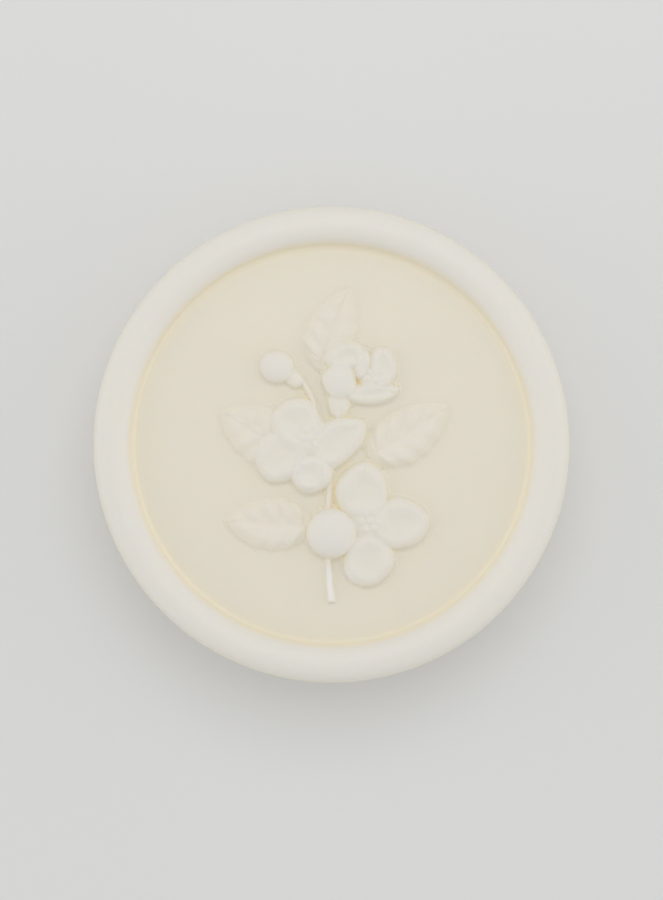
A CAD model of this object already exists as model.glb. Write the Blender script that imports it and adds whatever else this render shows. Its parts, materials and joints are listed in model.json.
import json
import math
from collections import namedtuple

import bmesh
import bpy
import numpy as np
from bpy.props import FloatProperty, FloatVectorProperty, IntProperty, PointerProperty
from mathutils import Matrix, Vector
from mathutils.bvhtree import BVHTree

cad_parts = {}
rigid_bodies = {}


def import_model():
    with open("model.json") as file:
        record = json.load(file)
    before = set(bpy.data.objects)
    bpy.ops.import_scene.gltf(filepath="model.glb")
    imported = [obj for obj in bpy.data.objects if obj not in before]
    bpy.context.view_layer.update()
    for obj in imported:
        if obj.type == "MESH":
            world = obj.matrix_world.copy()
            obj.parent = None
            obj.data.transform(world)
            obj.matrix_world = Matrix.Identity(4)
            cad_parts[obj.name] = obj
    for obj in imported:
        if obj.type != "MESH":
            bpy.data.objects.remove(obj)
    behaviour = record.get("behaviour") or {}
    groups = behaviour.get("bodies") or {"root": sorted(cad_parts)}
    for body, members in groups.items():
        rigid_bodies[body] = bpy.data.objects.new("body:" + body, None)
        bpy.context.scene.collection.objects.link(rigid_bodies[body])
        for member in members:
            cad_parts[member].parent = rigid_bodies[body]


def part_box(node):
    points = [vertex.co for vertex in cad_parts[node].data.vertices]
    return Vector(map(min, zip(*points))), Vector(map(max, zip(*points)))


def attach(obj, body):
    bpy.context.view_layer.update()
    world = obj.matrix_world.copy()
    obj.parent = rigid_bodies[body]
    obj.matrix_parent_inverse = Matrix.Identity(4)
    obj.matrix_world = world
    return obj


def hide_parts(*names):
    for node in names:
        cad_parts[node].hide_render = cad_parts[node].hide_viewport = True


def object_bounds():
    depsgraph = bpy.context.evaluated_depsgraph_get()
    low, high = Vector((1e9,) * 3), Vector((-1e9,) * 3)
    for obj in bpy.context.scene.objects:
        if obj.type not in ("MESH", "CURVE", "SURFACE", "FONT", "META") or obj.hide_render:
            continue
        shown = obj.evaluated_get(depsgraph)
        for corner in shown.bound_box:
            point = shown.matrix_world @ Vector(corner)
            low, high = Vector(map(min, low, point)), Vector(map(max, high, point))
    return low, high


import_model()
CAD_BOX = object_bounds()

bl_info = {
    "name": "Shaving soap puck",
    "version": (1, 0, 0),
    "blender": (4, 5, 0),
    "location": "View3D > Sidebar > Soap puck",
    "description": "A moulded shaving soap puck with a rolled rim and a flower sprig in relief",
    "category": "Add Mesh",
}

# Metres, +Z up, the puck's flat base on z = 0 and the foot of the sprig towards -Y.
MM = 0.001
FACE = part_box("cake_body")[1].z  # height of the sunk face that the relief stands on
RELIEF_PREFIX = "moulded_"
SHARP_ANGLE = math.radians(50)
WAVES = 7.0  # radians of an outline's slow wave from base to tip
BEAD_SPREAD = 1.75  # how far a flower's beads spread on its boss
STEM_STEEPNESS = 1.9  # how much higher than half-round a stem stands
STEM_FOOT = 0.29  # where the main stem's foot is, as a share of its box's width
EYE_OFFSET = 0.006  # how far the camera stands towards the sprig's foot, in picture heights
SKIRT_INSET = 0.1 * MM  # how far inside the cake's wall the rim's buried part stays
WELD_REACH = 1e-4 * MM  # points nearer than this become one
RIM_FOOT_STRENGTH = 0.45  # how strongly the rim foot's colour shows
MOTTLE_STRENGTH = 0.16  # how strongly the slow mottling shows
OPEN_GROUND, DEEP_CREASE = 0.86, 0.25  # shares of open sky where a crease starts and ends


# ---------------------------------------------------------------- settings


def length(name, description, default, low, high):
    """A length property, in metres."""
    return FloatProperty(
        name=name,
        description=description,
        default=default,
        min=low,
        max=high,
        precision=5,
        subtype="DISTANCE",
        unit="LENGTH",
    )


def share(name, description, default, low=0.0, high=1.0):
    """A property that is a share of something else."""
    return FloatProperty(
        name=name, description=description, default=default, min=low, max=high, subtype="FACTOR"
    )


def tint(name, description, default):
    """A colour property, linear."""
    return FloatVectorProperty(
        name=name, description=description, default=default, min=0, max=1, size=3, subtype="COLOR"
    )


class SoapMouldSettings(bpy.types.PropertyGroup):
    """How the mould cut the soap's edges and details."""

    foot_fillet: length(
        "Foot fillet", "Radius of the hollow where relief meets the face", 0.6 * MM, 0, MM
    )
    foot_sink: length(
        "Foot sink", "How far the rim and relief go down into the cake", 1.0 * MM, 0, 2 * MM
    )
    leaf_fillet: length(
        "Leaf fillet", "Radius of the hollow where a leaf meets the face", 0.8 * MM, 0, 2 * MM
    )
    leaf_slope: FloatProperty(
        name="Leaf slope",
        description="Slope of a leaf's outline",
        default=math.radians(61),
        subtype="ANGLE",
        unit="ROTATION",
    )
    leaf_shoulder: length(
        "Leaf shoulder", "Width of the rounding at a leaf's edge", 1.9 * MM, 0.1 * MM, 4 * MM
    )
    petal_shoulder: length(
        "Petal shoulder", "Width of the rounding at a petal's edge", 1.6 * MM, 0.1 * MM, 4 * MM
    )
    petal_waviness: share(
        "Petal waviness", "How far a petal's outline strays, as a share of its width", 0.06
    )
    petal_cup: share("Petal cup", "Depth of a petal's hollow as a share of its height", 0.3)
    join_width: length(
        "Join width", "Height over which crossing pieces flow into each other", 0.7 * MM, 0, 2 * MM
    )
    base_rounding: length(
        "Base rounding", "Radius of the rounding around the underside", 3 * MM, 0.2 * MM, 8 * MM
    )
    rim_fillet: length(
        "Rim fillet", "Radius of the hollow where the rim meets the face", 0.9 * MM, 0, 2 * MM
    )
    unevenness: length(
        "Unevenness", "How far the pressed surfaces wander from true", 0.05 * MM, 0, 0.5 * MM
    )
    segments: IntProperty(
        name="Segments", description="Steps around the cake and rim", default=288, min=48, max=1024
    )


class SoapColourSettings(bpy.types.PropertyGroup):
    """The soap's colours and surface."""

    face_colour: tint("Face colour", "The sunk face, cream", (0.805, 0.760, 0.650))
    raised_colour: tint("Raised colour", "Rim and relief, paler", (0.796, 0.771, 0.716))
    rim_foot_colour: tint("Rim foot colour", "Around the rim's foot, warm", (0.900, 0.805, 0.590))
    stem_foot_colour: tint("Stem foot colour", "The stem's cut foot", (0.865, 0.840, 0.800))
    crease_reach: length(
        "Crease reach", "How near surfaces must be to count as a crease", 1.3 * MM, 0, 5 * MM
    )
    crease_colour: tint("Crease colour", "Deep creases, warm", (0.965, 0.870, 0.625))
    light_depth: length(
        "Light depth", "How far light spreads inside the soap", 0.5 * MM, 0, 10 * MM
    )
    light_share: share("Light share", "Share of the light that spreads inside the soap", 0.12)
    roughness: share("Roughness", "Roughness of the pressed surface", 0.5)
    pit_depth: length("Pit depth", "Depth of the fine pits in the skin", 0.02 * MM, 0, 0.2 * MM)


class SoapStageSettings(bpy.types.PropertyGroup):
    """The floor, lights and camera around the puck."""

    floor_colour: tint("Floor colour", "The pale board under the puck", (0.765, 0.770, 0.770))
    tent_colour: tint("Tent colour", "Colour of the even light", (1.0, 0.995, 0.985))
    floor_side: length("Floor side", "Side of the square floor", 4.0, 0.5, 20)
    zenith: FloatProperty(
        name="Zenith", description="Brightness of the even light from straight above", default=0.585
    )
    horizon: FloatProperty(
        name="Horizon", description="Brightness of the even light from the sides", default=1.1
    )
    side_extra: FloatProperty(
        name="Side extra", description="How much brighter left and right are than ends", default=0.5
    )
    window_power: FloatProperty(
        name="Window power", description="Power of the large soft light", default=0.36, unit="POWER"
    )
    window_side: length("Window side", "Side of the large soft light", 0.26, 0.05, 3)
    window_place: FloatVectorProperty(
        name="Window place",
        description="Where the large soft light hangs",
        default=(0.022, 0.165, 0.42),
        size=3,
        subtype="TRANSLATION",
        unit="LENGTH",
    )
    camera_lens: FloatProperty(
        name="Lens", description="Focal length", default=85.0, unit="CAMERA"
    )
    puck_share: share(
        "Puck share", "The puck's diameter as a share of the picture's height", 0.5289
    )


# ---------------------------------------------------------------- shader nodes


class Wire:
    """A node's output. Expressions that it is used in add their Math nodes."""

    def __init__(self, shader, socket):
        self.shader = shader
        self.socket = socket

    def math(self, operation, *values):
        sockets = dict(enumerate((self, *values)))
        return self.shader.node("ShaderNodeMath", {"operation": operation}, sockets)

    def reflected(self, operation, value):
        return self.shader.node("ShaderNodeMath", {"operation": operation}, {0: value, 1: self})

    def __add__(self, value):
        return self.math("ADD", value)

    def __radd__(self, value):
        return self.reflected("ADD", value)

    def __sub__(self, value):
        return self.math("SUBTRACT", value)

    def __rsub__(self, value):
        return self.reflected("SUBTRACT", value)

    def __mul__(self, value):
        return self.math("MULTIPLY", value)

    def __rmul__(self, value):
        return self.reflected("MULTIPLY", value)


class Shader:
    """A node tree whose nodes are added by node()."""

    def __init__(self, tree):
        self.tree = tree
        self.tree.nodes.clear()

    def node(self, kind, settings=None, sockets=None, output=0):
        """Adds a node, sets its settings, then its sockets' values or links."""
        made = self.tree.nodes.new(kind)
        for name, value in (settings or {}).items():
            setattr(made, name, value)
        for key, value in (sockets or {}).items():
            self.feed(made.inputs[self.place(made, key)], value)
        return Wire(self, made.outputs[output]) if len(made.outputs) else made

    def place(self, made, key):
        """A socket's index, from its index, identifier or name."""
        if isinstance(key, int):
            return key
        names = [socket.identifier for socket in made.inputs]
        if key not in names:
            names = [socket.name for socket in made.inputs]
        return names.index(key)

    def feed(self, socket, value):
        """Links a wire to a socket, or sets the socket's value."""
        if isinstance(value, Wire):
            self.tree.links.new(value.socket, socket)
        elif hasattr(value, "__len__") and len(value) == 3 and socket.type == "RGBA":
            socket.default_value = (*value, 1)
        else:
            socket.default_value = value

    def blend(self, factor, first, second):
        """A colour between first and second."""
        sockets = {"Factor_Float": factor, "A_Color": first, "B_Color": second}
        return self.node("ShaderNodeMix", {"data_type": "RGBA"}, sockets, output=2)

    def step(self, value, low, high):
        """A smooth step from 0 to 1, as value goes from low to high."""
        sockets = {"Value": value, "From Min": low, "From Max": high}
        return self.node("ShaderNodeMapRange", {"interpolation_type": "SMOOTHSTEP"}, sockets)

    def distance(self, first, second):
        """How far first is from second."""
        sockets = {0: first, 1: second}
        return self.node("ShaderNodeVectorMath", {"operation": "DISTANCE"}, sockets, output=1)

    def noise(self, point, grain, detail=3.0, roughness=0.5):
        """Noise with features about grain metres across."""
        sockets = {"Vector": point, "Scale": 1 / grain, "Detail": detail, "Roughness": roughness}
        return self.node("ShaderNodeTexNoise", None, sockets)

    def surface(self, sockets):
        """Ends the tree in a Principled surface."""
        principled = self.node("ShaderNodeBsdfPrincipled", None, sockets)
        self.node("ShaderNodeOutputMaterial", None, {"Surface": principled})


def new_material(name):
    """An empty material, and the shader that its nodes are added to."""
    material = bpy.data.materials.new(name)
    material.use_nodes = True
    return material, Shader(material.node_tree)


def rim_foot(shader, point, height):
    """How strongly the rim's inner foot colours a point."""
    low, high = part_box("raised_rim")
    foot = high.x - 2 * (high.z - low.z)
    axis = shader.node("ShaderNodeCombineXYZ", None, {2: height})
    radius = shader.distance(point, axis)
    inside = shader.step(radius, foot - 1.9 * MM, foot - 0.1 * MM)
    outside = shader.step(radius, foot + 0.7 * MM, foot + 0.1 * MM)
    return inside * outside * RIM_FOOT_STRENGTH


def pale_stem_foot(shader, point, height):
    """How near a point is to the cut foot of the stem, from 0 to 1."""
    low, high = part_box("main_stem")
    place = (low.x + STEM_FOOT * (high.x - low.x), low.y, FACE)
    near = shader.step(shader.distance(point, place), 7 * MM, 4 * MM)
    return near * shader.step(height, FACE + 0.1 * MM, FACE + 0.6 * MM)


def soap_material(scene):
    """Pressed soap: cream on the face, paler where it stands proud, warm in the creases."""
    found = bpy.data.materials.get("pressed_soap")
    if found:
        return found
    look = scene.soap_colours
    material, shader = new_material("pressed_soap")
    point = shader.node("ShaderNodeTexCoord", output=3)
    height = shader.node("ShaderNodeSeparateXYZ", None, {0: point}, output=2)
    clouds = shader.noise(point, 9 * MM, detail=2)
    grain = shader.noise(point, 0.8 * MM, detail=5, roughness=0.6)
    proud = shader.step(height + (clouds - 0.5) * 0.5 * MM, FACE + 0.2 * MM, FACE + 2.5 * MM)
    body = shader.blend(proud, look.face_colour, look.raised_colour)
    mottled = shader.blend((clouds - 0.35) * MOTTLE_STRENGTH, body, look.crease_colour)
    ringed = shader.blend(rim_foot(shader, point, height), mottled, look.rim_foot_colour)
    footed = shader.blend(pale_stem_foot(shader, point, height), ringed, look.stem_foot_colour)
    open_share = shader.node(
        "ShaderNodeAmbientOcclusion", {"samples": 6}, {"Distance": look.crease_reach}, output=1
    )
    crease = shader.step(open_share, OPEN_GROUND, DEEP_CREASE)
    colour = shader.blend(crease, footed, look.crease_colour)
    pores = shader.node(
        "ShaderNodeTexVoronoi", None, {"Vector": point, "Scale": 1 / (1.7 * MM)}
    )
    pinholes = shader.step(pores, 0.05, 0.12)
    relief = grain * 0.6 + pinholes * 0.5 + clouds * 0.8
    bump = shader.node(
        "ShaderNodeBump", None, {"Strength": 1.0, "Distance": look.pit_depth, "Height": relief}
    )
    shader.surface(
        {
            "Base Color": colour,
            "Roughness": look.roughness + (grain - 0.5) * 0.2,
            "Subsurface Weight": look.light_share,
            "Subsurface Radius": (1.0, 0.65, 0.3),
            "Subsurface Scale": look.light_depth,
            "Specular IOR Level": 0.4,
            "Normal": bump,
        }
    )
    return material


def board_material(scene):
    """The pale, faintly fibrous board under the puck."""
    material, shader = new_material("pale_board")
    point = shader.node("ShaderNodeTexCoord", output=3)
    fibres = shader.noise(point, 1.2 * MM, detail=6, roughness=0.65)
    patches = shader.noise(point, 60 * MM, detail=2)
    base = scene.soap_stage.floor_colour
    shade = tuple(channel * 0.93 for channel in base)
    colour = shader.blend(fibres * 0.12 + patches * 0.15, base, shade)
    bump = shader.node(
        "ShaderNodeBump", None, {"Strength": 0.4, "Distance": 0.03 * MM, "Height": fibres}
    )
    shader.surface({"Base Color": colour, "Roughness": 0.75, "Normal": bump})
    return material


# ---------------------------------------------------------------- meshes


def smooth_step(value, low, high):
    """A smooth rise from 0 at low to 1 at high."""
    share_of_way = np.clip((value - low) / (high - low), 0, 1)
    return share_of_way**2 * (3 - 2 * share_of_way)


def crown(value):
    """A quarter-round rise, from 0 at 0 to 1 at 1 and beyond."""
    return np.sqrt(1 - (1 - np.clip(value, 0, 1)) ** 2)


def ease_out(value):
    """A softer rise than crown's, that starts as a slope."""
    return np.sin(math.pi / 2 * np.clip(value, 0, 1))


def finish_piece(context, name, rings, node):
    """Joins rings of points, (rings, n, 3), into one closed mesh that stands for a CAD node."""
    count, around = rings.shape[:2]
    index = np.arange(count * around).reshape(count, around)
    after = np.roll(index, -1, axis=1)
    quads = np.stack([index[:-1], after[:-1], after[1:], index[1:]], axis=-1).reshape(-1, 4)
    mesh = bpy.data.meshes.new(name)
    mesh.from_pydata(rings.reshape(-1, 3).tolist(), [], quads.tolist())
    weld(mesh)
    mesh.shade_smooth()
    mesh.set_sharp_from_angle(angle=SHARP_ANGLE)
    mesh.materials.append(soap_material(context.scene))
    piece = bpy.data.objects.new(name, mesh)
    context.scene.collection.objects.link(piece)
    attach(piece, "root")
    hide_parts(node)
    return piece


def weld(mesh):
    """Merges the points that meet on a spine or an axis, and turns every face outwards."""
    work = bmesh.new()
    work.from_mesh(mesh)
    bmesh.ops.remove_doubles(work, verts=work.verts, dist=WELD_REACH)
    bmesh.ops.dissolve_degenerate(work, dist=WELD_REACH, edges=work.edges)
    bmesh.ops.recalc_face_normals(work, faces=work.faces)
    if any(not edge.is_manifold for edge in work.edges):
        raise RuntimeError(f"{mesh.name} isn't closed")
    work.to_mesh(mesh)
    work.free()


# ---------------------------------------------------------------- cake and rim


def wander(angle, lobes):
    """A slow, repeatable wave around the cake, from 0 to 1."""
    waves = [np.sin(count * angle + phase) / count for count, phase in lobes]
    return 0.5 + 0.5 * sum(waves) / sum(1 / count for count, _ in lobes)


def lathe(profile, settings, uneven_top=False):
    """Turns (radius, height) points about Z, a little out of true."""
    angle = np.linspace(0, 2 * math.pi, settings.segments, endpoint=False)
    pull = settings.unevenness * wander(angle, ((2, 0.4), (3, 2.1), (5, 4.0)))
    drop = settings.unevenness * wander(angle, ((3, 1.2), (4, 0.3), (7, 2.6)))
    radius, height = np.array(profile).T
    outer = radius.max()
    radii = radius[:, None] - pull * (radius[:, None] / outer) ** 4
    heights = np.repeat(height[:, None], len(angle), axis=1)
    if uneven_top:
        heights -= drop * np.clip((heights - FACE) / (CAD_BOX[1].z - FACE), 0, 1)
    return np.stack([radii * np.cos(angle), radii * np.sin(angle), heights], axis=-1)


def arc(centre, radius, start, end, steps):
    """Points on an arc, angles in degrees."""
    angles = np.radians(np.linspace(start, end, steps))
    return [
        (centre[0] + radius * math.cos(angle), centre[1] + radius * math.sin(angle))
        for angle in angles
    ]


class SOAP_OT_make_cake(bpy.types.Operator):
    """Makes the cake: underside, rounded foot, straight wall and sunk face"""

    bl_idname = "soap.make_cake"
    bl_label = "Cake"

    def execute(self, context):
        settings = context.scene.soap_mould
        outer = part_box("cake_body")[1].x
        rim_low, rim_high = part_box("raised_rim")
        roll = rim_high.z - rim_low.z
        rounding = settings.base_rounding
        foot = arc((outer - rounding, rounding), rounding, -90, 0, 13)
        wall = [(outer, z) for z in np.linspace(rounding, FACE, 12)[1:]]
        shelf = [(outer - roll, FACE)]
        base = [(r, 0.0) for r in np.linspace(0, outer - rounding, 16)[:-1]]
        face = [(r, FACE) for r in (outer - 2 * roll) * np.linspace(1, 0, 61)]
        profile = base + foot + wall + shelf + face
        finish_piece(context, "pressed_cake", lathe(profile, settings), "cake_body")
        return {"FINISHED"}


class SOAP_OT_make_rim(bpy.types.Operator):
    """Makes the rolled rim around the face"""

    bl_idname = "soap.make_rim"
    bl_label = "Rim"

    def execute(self, context):
        settings = context.scene.soap_mould
        low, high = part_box("raised_rim")
        radius = high.z - low.z
        fillet = settings.rim_fillet
        middle = (high.x - radius, FACE)
        # The hollow touches both the roll and the face.
        reach = math.sqrt((radius + fillet) ** 2 - fillet**2)
        touch = math.degrees(math.atan2(fillet, reach))
        roll = arc(middle, radius, 0, 180 - touch, 29)
        hollow = arc((middle[0] - reach, FACE + fillet), fillet, -touch, -86, 9)[1:]
        depth = FACE - settings.foot_sink
        skirt = [(high.x - SKIRT_INSET, depth), (high.x - SKIRT_INSET, FACE)]
        profile = skirt + roll + hollow + [(hollow[-1][0], depth)]
        rings = lathe(profile, settings, uneven_top=True)
        rings = np.concatenate([rings, rings[:1]])
        finish_piece(context, "rolled_rim", rings, "raised_rim")
        return {"FINISHED"}


# ---------------------------------------------------------------- relief


# A patch of relief before it is raised.  Each outline point runs in to a point on the spine;
# along goes from 0 at the base to 1 at the tip, side is 1 or -1, and root is how far along
# the spine point is.
Patch = namedtuple("Patch", "outline spine along side root")

# How a leaf, petal or bud is drawn: the way it points, its width as a share of its length,
# how sharp its base and tip are (0.5 is round, 1 is a point), how far its middle bows aside,
# and how much it grows from its tip, to go on under its neighbours.
Form = namedtuple("Form", "turn aspect base tip bow grow", defaults=(0.5, 0.5, 0.0, 1.0))

# How a leaf's two halves are moulded, left of its midrib and then right: their heights as
# shares of the leaf's height, and the depths of the furrows between their lobes.
Halves = namedtuple("Halves", "fullness lobing")

LEAVES = {
    "top_leaf": (Form(68, 0.56, 0.62, 0.85, 0.03), Halves((1.0, 0.65), (0.36, 0.2))),
    "right_leaf": (Form(33, 0.57, 0.6, 0.8, -0.03), Halves((0.97, 1.0), (0.5, 0.18))),
    "left_upper_leaf": (Form(150, 0.64, 0.6, 0.72, 0.02), Halves((0.88, 1.0), (0.34, 0.52))),
    "left_lower_leaf": (Form(176.5, 0.63, 0.6, 0.75), Halves((1.0, 0.97), (0.1, 0.5))),
}
PETALS = {
    "top_petal_back": Form(8, 0.74, 0.5, 0.5, 0.0, 1.08),
    "top_petal_right": Form(88, 0.63, 0.55, 0.45, 0.0, 1.12),
    "top_petal_middle": Form(80, 0.52, 0.5, 0.5, 0.0, 1.15),
    "top_petal_front": Form(3, 0.36, 0.5, 0.5, -0.06, 1.12),
    "top_petal_left": Form(90, 0.95, 0.5, 0.5, 0.0, 1.06),
    "middle_petal_top": Form(136, 0.9, 0.55, 0.42, 0.0, 1.2),
    "middle_petal_right": Form(40.5, 0.66, 0.5, 0.66, 0.02, 1.16),
    "middle_petal_left": Form(206, 0.86, 0.55, 0.45, 0.0, 1.32),
    "middle_petal_front": Form(178, 0.92, 0.5, 0.5, 0.0, 1.06),
    "lower_petal_top": Form(84, 0.88, 0.45, 0.6, 0.0, 1.12),
    "lower_petal_right": Form(9, 0.85, 0.55, 0.62, 0.0, 1.14),
    "lower_petal_bottom": Form(267, 0.95, 0.5, 0.52, 0.0, 1.12),
}
DOMED = ("top_petal_left",)  # petals that bulge instead of being cupped
BUDS = {
    "upper_bud": Form(162, 0.92, 0.5, 0.53),
    "lower_bud": Form(90, 1.0, 0.5, 0.52),
    "top_flower_calyx": Form(268, 0.7, 0.5, 0.5, 0.0, 1.25),
    "upper_bud_calyx": Form(142, 0.7, 0.5, 0.5, 0.0, 1.2),
}


def half_width(along, base, tip):
    """Half-width of a leaf or petal along its length, at most 1."""
    peak = base / (base + tip)
    return along**base * (1 - along) ** tip / (peak**base * (1 - peak) ** tip)


def turned(points, degrees):
    """The points turned about the origin."""
    angle = math.radians(degrees)
    matrix = np.array([[math.cos(angle), math.sin(angle)], [-math.sin(angle), math.cos(angle)]])
    return points @ matrix


def loop(steps):
    """Points around a patch: how far along it each one is, and on which side."""
    around = np.linspace(0, 2 * math.pi, steps, endpoint=False)
    return (1 - np.cos(around)) / 2, np.sign(np.round(np.sin(around), 9))


def leaf_patch(
    form, steps, teeth=0, tooth_depth=0.0, slant=0.0, spine_ends=(0.1, 0.1), waviness=0.0
):
    """A leaf or petal one unit long, turned the way it points."""
    along, side = loop(steps)
    width = half_width(along, form.base, form.tip)
    root = np.clip(along - slant * width, spine_ends[0], 1 - spine_ends[1])
    width = width * (1 + waviness * np.sin(WAVES * along + side * 1.3 + form.turn))
    if teeth:
        tooth = np.sin(math.pi * (along * teeth + 0.25 * side)) ** 2
        width = width * (1 + tooth_depth * (tooth - 0.5) * smooth_step(width, 0.1, 0.5))
    bowed = form.bow * 4 * along * (1 - along)
    root_bowed = form.bow * 4 * root * (1 - root)
    outline = np.stack([along, side * width * form.aspect / 2 + bowed], axis=-1)
    spine = np.stack([root, root_bowed], axis=-1)
    return Patch(turned(outline, form.turn), turned(spine, form.turn), along, side, root)


def fitted(patch, node, grow=1.0):
    """The patch scaled to fill the node's box, then grown from its tip."""
    low, high = (np.array(corner[:2]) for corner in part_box(node))
    lowest, highest = patch.outline.min(axis=0), patch.outline.max(axis=0)
    scale = (high - low) / (highest - lowest)
    outline = low + (patch.outline - lowest) * scale
    spine = low + (patch.spine - lowest) * scale
    tip = outline[np.argmax(patch.along)]
    return patch._replace(outline=tip + (outline - tip) * grow, spine=tip + (spine - tip) * grow)


def outward(outline):
    """Unit normals, pointing out, of a closed outline that runs either way round."""
    ahead, behind = np.roll(outline, -1, axis=0), np.roll(outline, 1, axis=0)
    tangent = ahead - behind
    normal = np.stack([tangent[:, 1], -tangent[:, 0]], axis=-1)
    normal /= np.linalg.norm(normal, axis=1)[:, None] + 1e-12
    x, y = outline.T
    anticlockwise = (x * np.roll(y, -1) - y * np.roll(x, -1)).sum() > 0
    return normal if anticlockwise else -normal


def raise_patch(
    context, node, patch, height, ring_count=36, steepness=1.0, fillet=None, slope=math.pi / 2
):
    """Raises a patch into a closed piece that stands for the node.

    The fillet around its foot ends at the outline with the given slope.

    height(inset, way, patch) gives the shape of the top, where inset is the distance in
    from the outline and way is how far in towards the spine, both as (rings, points).
    """
    settings = context.scene.soap_mould
    rise = (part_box(node)[1].z - FACE) * steepness
    fillet = fillet or min(settings.foot_fillet, 0.4 * rise)
    foot = fillet * (1 - math.cos(slope))
    inward = patch.spine - patch.outline
    way = (np.linspace(0, 1, ring_count + 1) ** 1.45)[:, None]
    inset = way * np.linalg.norm(inward, axis=1)
    shape = height(inset, way, patch)
    _, place = np.unique(np.round(patch.root, 9), return_inverse=True)
    shape[-1] = (np.bincount(place, shape[-1]) / np.bincount(place))[place]
    tops = FACE + foot + (rise - foot) * shape / shape.max()
    top = np.concatenate([patch.outline + inward * way[..., None], tops[..., None]], axis=-1)
    rings = np.concatenate([foot_rings(patch, fillet, slope, FACE - settings.foot_sink), top])
    return finish_piece(context, RELIEF_PREFIX + node, rings, node)


def foot_rings(patch, fillet, slope, depth):
    """The underside, the skirt in the cake and the hollow fillet up to the outline."""
    normal = outward(patch.outline)
    widest = fillet * math.sin(slope)
    rings = [(patch.spine, depth), (patch.outline + normal * widest, depth)]
    for angle in np.linspace(0, 0.8 * slope, 7):
        out = widest - fillet * math.sin(angle)
        up = fillet * (1 - math.cos(angle))
        rings.append((patch.outline + normal * out, FACE + up))
    return np.stack([np.column_stack([xy, np.full(len(xy), z)]) for xy, z in rings])


def leaf_top(settings, halves, veins=5):
    """A leaf's top: soft margins, a sunk midrib and lobes between slanting side veins."""

    def height(inset, way, patch):
        across = 1 - way
        rise = inset / settings.leaf_shoulder
        edge = ease_out(rise)
        midrib = np.exp(-((across / 0.2) ** 2))
        lobes = np.cos(2 * math.pi * (patch.along * veins + 0.25 * patch.side)) * 0.5 + 0.5
        left = patch.side > 0
        lobing = np.where(left, *halves.lobing)
        fullness = np.where(left, *halves.fullness)
        reach = smooth_step(across, 0.02, 0.3)
        swell = 0.7 + 0.3 * np.sin(math.pi * np.clip(patch.along, 0.05, 0.95) ** 0.8)
        return edge * swell * fullness * (1 - 0.4 * midrib - lobing * lobes * reach)

    return height


def petal_top(settings, fold=0.1):
    """A petal's top: a rounded margin around a shallow cup, with faint folds."""

    def height(inset, way, patch):
        rise = inset / settings.petal_shoulder
        edge = 0.5 * crown(rise) + 0.5 * ease_out(rise)
        bowl = smooth_step(way, 0.3, 1.0)
        fading = smooth_step(way, 0.1, 0.45) * (1 - smooth_step(way, 0.45, 0.9))
        folds = 1 + fold * np.cos(patch.along * 9 + patch.side) * fading
        lean = 0.84 + 0.16 * smooth_step(patch.along, 0.0, 0.7)
        lean = lean + (0.92 - lean) * smooth_step(way, 0, 0.9)
        return edge * lean * folds * (1 - settings.petal_cup * bowl)

    return height


def ball_top(inset, way, patch):
    """A bud's top: one smooth dome."""
    return crown(way * np.ones_like(inset))


class SOAP_OT_make_leaves(bpy.types.Operator):
    """Makes the lobed, veined leaves"""

    bl_idname = "soap.make_leaves"
    bl_label = "Leaves"

    def execute(self, context):
        settings = context.scene.soap_mould
        for node, (form, halves) in LEAVES.items():
            patch = leaf_patch(form, 320, teeth=5, tooth_depth=0.07, slant=0.13, waviness=0.03)
            raise_patch(
                context,
                node,
                fitted(patch, node),
                leaf_top(settings, halves),
                ring_count=40,
                fillet=settings.leaf_fillet,
                slope=settings.leaf_slope,
            )
        return {"FINISHED"}


class SOAP_OT_make_petals(bpy.types.Operator):
    """Makes the petals of the three flowers"""

    bl_idname = "soap.make_petals"
    bl_label = "Petals"

    def execute(self, context):
        settings = context.scene.soap_mould
        for node, form in PETALS.items():
            ends = (min(0.5 * form.aspect, 0.44), min(0.45 * form.aspect, 0.42))
            patch = leaf_patch(form, 200, spine_ends=ends, waviness=settings.petal_waviness)
            top = ball_top if node in DOMED else petal_top(settings)
            raise_patch(context, node, fitted(patch, node, form.grow), top)
        return {"FINISHED"}


class SOAP_OT_make_buds(bpy.types.Operator):
    """Makes the two buds and the calyxes"""

    bl_idname = "soap.make_buds"
    bl_label = "Buds"

    def execute(self, context):
        for node, form in BUDS.items():
            ends = (0.47 * form.aspect, 0.47 * form.aspect)
            patch = leaf_patch(form, 200, spine_ends=ends)
            raise_patch(context, node, fitted(patch, node, form.grow), ball_top)
        return {"FINISHED"}


def stem_patch(node, waypoints, steps=240):
    """A stem along a smooth line through waypoints, given as shares of its box."""
    low, high = (np.array(corner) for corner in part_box(node))
    radius = high[2] - FACE
    inner_low = low[:2] + (radius, 0)
    inner_high = high[:2] - (radius, 0)
    shares_x, shares_y = np.array(waypoints).T
    line = np.polyfit(shares_y, shares_x, 2)
    size = inner_high - inner_low
    along, side = loop(steps)

    def on_line(way):
        return inner_low + np.stack([np.polyval(line, way), way], axis=-1) * size

    slope = np.stack([np.polyval(np.polyder(line), along), np.ones(steps)], axis=-1) * size
    normal = np.stack([slope[:, 1], -slope[:, 0]], axis=-1)
    normal /= np.linalg.norm(normal, axis=1)[:, None]
    swell = 1 + 0.12 * np.exp(-along / 0.06)
    end = radius / size[1]
    root = np.clip(along, end, 1 - end)
    outline = on_line(along) + normal * (side * radius * swell)[:, None]
    return Patch(outline, on_line(root), along, side, root)


class SOAP_OT_make_stems(bpy.types.Operator):
    """Makes the main stem and the bud's stalk"""

    bl_idname = "soap.make_stems"
    bl_label = "Stems"

    def execute(self, context):
        routes = {
            "main_stem": ((STEM_FOOT, 0.0), (0.0, 0.52), (1.0, 1.0)),
            "bud_stalk": ((0.98, 0.0), (0.78, 0.5), (0.0, 1.0)),
        }
        for node, waypoints in routes.items():
            raise_patch(context, node, stem_patch(node, waypoints), ball_top, 12, STEM_STEEPNESS)
        return {"FINISHED"}


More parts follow.
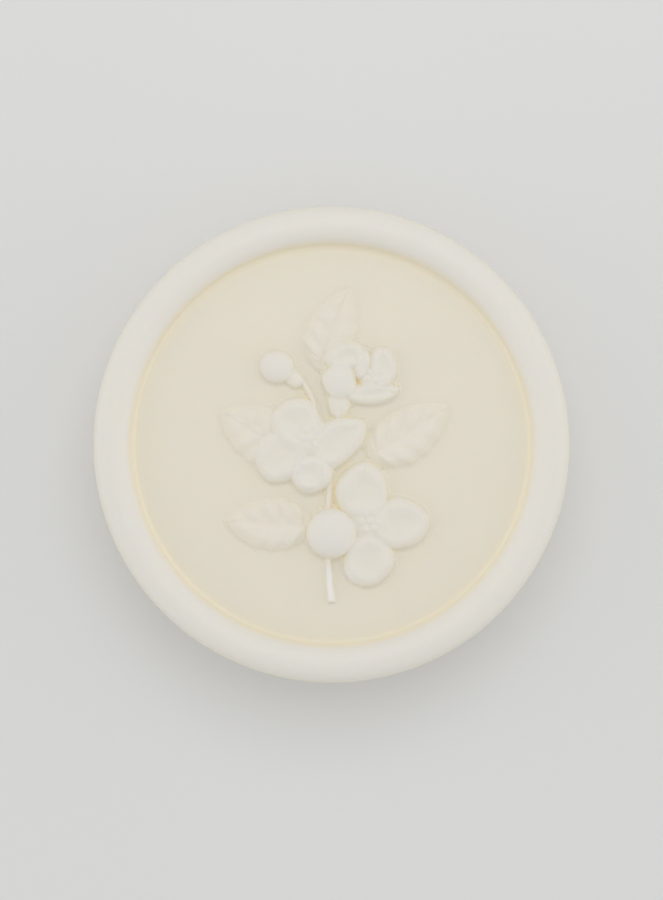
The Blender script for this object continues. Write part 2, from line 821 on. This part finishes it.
# How far each flower's boss goes on under its petals; the first flower, seen from its side,
# keeps an open throat.
BOSSES = {"top_flower_stamens": 1.75, "middle_flower_stamens": 2.3, "lower_flower_stamens": 2.3}


def bead_top(node, rng):
    """A flower's centre: a low boss covered with stamen beads."""
    low, high = (np.array(corner[:2]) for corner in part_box(node))
    centre, reach = (low + high) / 2, (high - low).mean() / 2 * BEAD_SPREAD
    turns = np.arange(6) * math.pi / 3 + rng.uniform(-0.15, 0.15, 6)
    ring = np.stack([np.cos(turns), np.sin(turns)], axis=-1) * reach * 0.62
    beads = centre + np.concatenate([[[0.0, 0.0]], ring * rng.uniform(0.85, 1.1, (6, 1))])

    def height(inset, way, patch):
        points = patch.outline + (patch.spine - patch.outline) * way[..., None]
        boss = 0.8 * crown(inset / reach)
        bumps = [
            smooth_step(-np.linalg.norm(points - bead, axis=-1), -0.36 * reach, 0)
            for bead in beads
        ]
        return boss + 0.2 * np.max(bumps, axis=0)

    return height


class SOAP_OT_make_stamens(bpy.types.Operator):
    """Makes the beaded centres of the flowers"""

    bl_idname = "soap.make_stamens"
    bl_label = "Stamens"

    def execute(self, context):
        rng = np.random.default_rng(7)
        for node, growth in BOSSES.items():
            patch = leaf_patch(Form(0, 1.0), 144, spine_ends=(0.5, 0.5))
            patch = fitted(patch, node)
            patch = patch._replace(outline=patch.spine + (patch.outline - patch.spine) * growth)
            raise_patch(context, node, patch, bead_top(node, rng), 40)
        return {"FINISHED"}


def drop_on(tree, x, y):
    """The height of a piece at x, y, or None beside it."""
    place = tree.ray_cast(Vector((x, y, CAD_BOX[1].z + MM)), Vector((0, 0, -1)))[0]
    return place.z if place else None


def lift_to_join(vertex, trees, width):
    """How far a point rises to flow into the pieces that cross its own surface there."""
    x, y, z = vertex.co
    lift = 0.0
    for tree, (west, south, east, north) in trees:
        if west < x < east and south < y < north:
            other = drop_on(tree, x, y)
            if other is not None and abs(other - z) < width:
                lift = max(lift, (width - abs(other - z)) ** 2 / (4 * width))
    return lift


class SOAP_OT_soften_joins(bpy.types.Operator):
    """Rounds the creases where the pieces of the relief run into each other"""

    bl_idname = "soap.soften_joins"
    bl_label = "Soften joins"

    def execute(self, context):
        width = context.scene.soap_mould.join_width
        pieces = [o for o in context.scene.objects if o.name.startswith(RELIEF_PREFIX)]
        trees = {}
        for piece in pieces:
            points = [vertex.co.copy() for vertex in piece.data.vertices]
            faces = [tuple(face.vertices) for face in piece.data.polygons]
            xs, ys = [point.x for point in points], [point.y for point in points]
            outline = (min(xs), min(ys), max(xs), max(ys))
            trees[piece.name] = (BVHTree.FromPolygons(points, faces), outline)
        for piece in pieces:
            others = [entry for name, entry in trees.items() if name != piece.name]
            for vertex in piece.data.vertices:
                if vertex.co.z > FACE:
                    vertex.co.z += lift_to_join(vertex, others, width)
            piece.data.update()
        return {"FINISHED"}


# ---------------------------------------------------------------- stage


def add_floor(context, settings):
    """The square board that the puck lies on."""
    half = settings.floor_side / 2
    corners = [(-half, -half, 0), (half, -half, 0), (half, half, 0), (-half, half, 0)]
    mesh = bpy.data.meshes.new("floor")
    mesh.from_pydata(corners, [], [(0, 1, 2, 3)])
    mesh.materials.append(board_material(context.scene))
    floor = bpy.data.objects.new("floor", mesh)
    context.scene.collection.objects.link(floor)


def add_window(context, settings):
    """A large soft square light that faces the puck."""
    light = bpy.data.lights.new("window", "AREA")
    light.shape = "SQUARE"
    light.size = settings.window_side
    light.energy = settings.window_power
    lamp = bpy.data.objects.new("window", light)
    lamp.location = settings.window_place
    lamp.rotation_mode = "QUATERNION"
    lamp.rotation_quaternion = (-lamp.location).to_track_quat("-Z", "Y")
    context.scene.collection.objects.link(lamp)


def add_sky(context, settings):
    """Even light all around, brighter towards the sides than from above."""
    world = bpy.data.worlds.new("light_tent")
    world.use_nodes = True
    sky = Shader(world.node_tree)
    direction = sky.node("ShaderNodeTexCoord")
    sideways, endways, upward = (
        sky.node("ShaderNodeSeparateXYZ", None, {0: direction}, output=axis) for axis in range(3)
    )
    low_light = settings.horizon - settings.zenith
    low_light = low_light + settings.side_extra * (sideways * sideways - endways * endways)
    strength = settings.zenith + (1 - upward) * low_light
    light = sky.node(
        "ShaderNodeBackground", None, {"Color": settings.tent_colour, "Strength": strength}
    )
    sky.node("ShaderNodeOutputWorld", None, {"Surface": light})
    context.scene.world = world


def add_camera(context, settings):
    """A camera straight above, at the height where the puck fills its share."""
    camera = bpy.data.cameras.new("above")
    camera.lens = settings.camera_lens
    camera.sensor_width = 36
    low, high = CAD_BOX
    diameter = high.x - low.x
    picture_height = diameter / settings.puck_share
    distance = picture_height * camera.lens / camera.sensor_width
    eye = bpy.data.objects.new("above", camera)
    eye.location = (0, -EYE_OFFSET * picture_height, FACE + distance)
    context.scene.collection.objects.link(eye)
    context.scene.camera = eye


class SOAP_OT_make_stage(bpy.types.Operator):
    """Makes the floor, the lights and the camera"""

    bl_idname = "soap.make_stage"
    bl_label = "Stage"

    def execute(self, context):
        settings = context.scene.soap_stage
        add_floor(context, settings)
        add_window(context, settings)
        add_sky(context, settings)
        add_camera(context, settings)
        context.scene.view_settings.view_transform = "Standard"
        return {"FINISHED"}


# ---------------------------------------------------------------- add-on


OPERATORS = (
    SOAP_OT_make_cake,
    SOAP_OT_make_rim,
    SOAP_OT_make_stems,
    SOAP_OT_make_leaves,
    SOAP_OT_make_buds,
    SOAP_OT_make_petals,
    SOAP_OT_make_stamens,
    SOAP_OT_soften_joins,
    SOAP_OT_make_stage,
)


class SOAP_PT_panel(bpy.types.Panel):
    """The puck's settings, and a button for each group of pieces"""

    bl_idname = "SOAP_PT_panel"
    bl_label = "Soap puck"
    bl_space_type = "VIEW_3D"
    bl_region_type = "UI"
    bl_category = "Soap puck"

    def draw(self, context):
        for group in ("soap_mould", "soap_colours", "soap_stage"):
            settings = getattr(context.scene, group)
            box = self.layout.box()
            for name in settings.__annotations__:
                box.prop(settings, name)
        for operator in OPERATORS:
            self.layout.operator(operator.bl_idname)


SETTINGS = {
    "soap_mould": SoapMouldSettings,
    "soap_colours": SoapColourSettings,
    "soap_stage": SoapStageSettings,
}
CLASSES = (*SETTINGS.values(), *OPERATORS, SOAP_PT_panel)


def register():
    for cls in CLASSES:
        bpy.utils.register_class(cls)
    for name, group in SETTINGS.items():
        setattr(bpy.types.Scene, name, PointerProperty(type=group))


def unregister():
    for name in SETTINGS:
        delattr(bpy.types.Scene, name)
    for cls in reversed(CLASSES):
        bpy.utils.unregister_class(cls)


def main():
    register()
    for operator in OPERATORS:
        group, name = operator.bl_idname.split(".")
        getattr(getattr(bpy.ops, group), name)()


if __name__ == "__main__":
    main()
